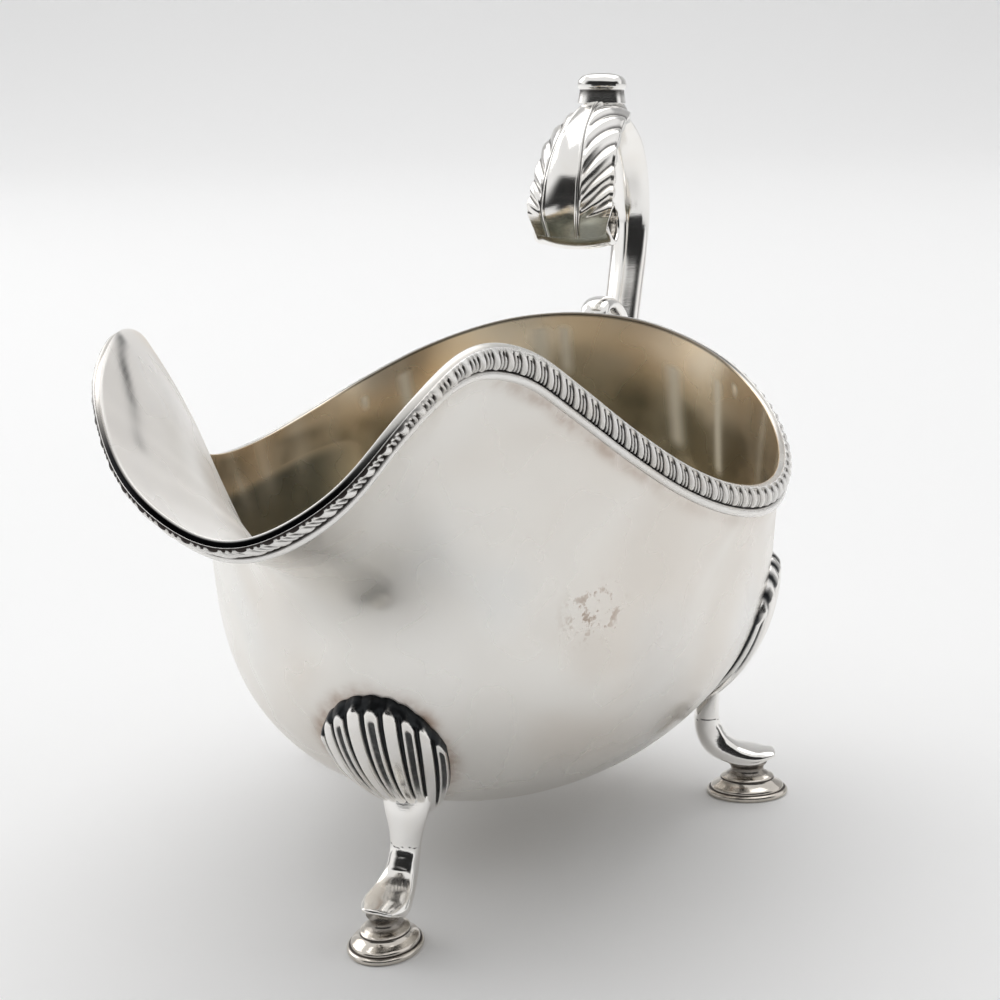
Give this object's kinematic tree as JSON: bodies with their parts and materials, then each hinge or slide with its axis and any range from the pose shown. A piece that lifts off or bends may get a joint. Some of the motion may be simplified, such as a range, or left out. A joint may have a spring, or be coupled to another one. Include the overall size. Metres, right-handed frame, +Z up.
{
  "type": "sauce boat",
  "caption": "Silver sauce boat with a wavy gadroon-bordered rim, wide pouring lip, flying scroll handle with a leaf cap, and three shell-and-hoof legs on stepped pads",
  "frame": {"origin": "on the table under the middle of the whole object", "axes": "+X towards the pouring lip, +Y to the left side seen from the handle, +Z up"},
  "size_m": [0.1881, 0.095, 0.1186],
  "materials": {
    "raised_silver": "polished raised silver with fine handling marks and a warm tarnish inside",
    "border_silver": "polished silver border with dark recesses between the lobes",
    "cast_silver": "polished cast silver with dark tarnish in the chasing",
    "shell_silver": "cast silver, bright ribs and dark grey flutes",
    "leg_silver": "polished cast silver, brown tarnish round the stepped pad",
    "pad_silver": "cast silver gone warm brown in the steps of the foot pads"
  },
  "bodies": {
    "root": {"bowl": "raised_silver", "gadroon_border": "border_silver", "rim_wire": "border_silver", "handle_scroll": "cast_silver", "handle_leaf_cap": "cast_silver", "handle_volute": "cast_silver", "thumb_rest": "cast_silver", "spur_scroll": "cast_silver", "front_shell": "shell_silver", "front_leg": "leg_silver", "front_foot_pad": "pad_silver", "left_shell": "shell_silver", "left_leg": "leg_silver", "left_foot_pad": "pad_silver", "right_shell": "shell_silver", "right_leg": "leg_silver", "right_foot_pad": "pad_silver"}
  },
  "joints": []
}
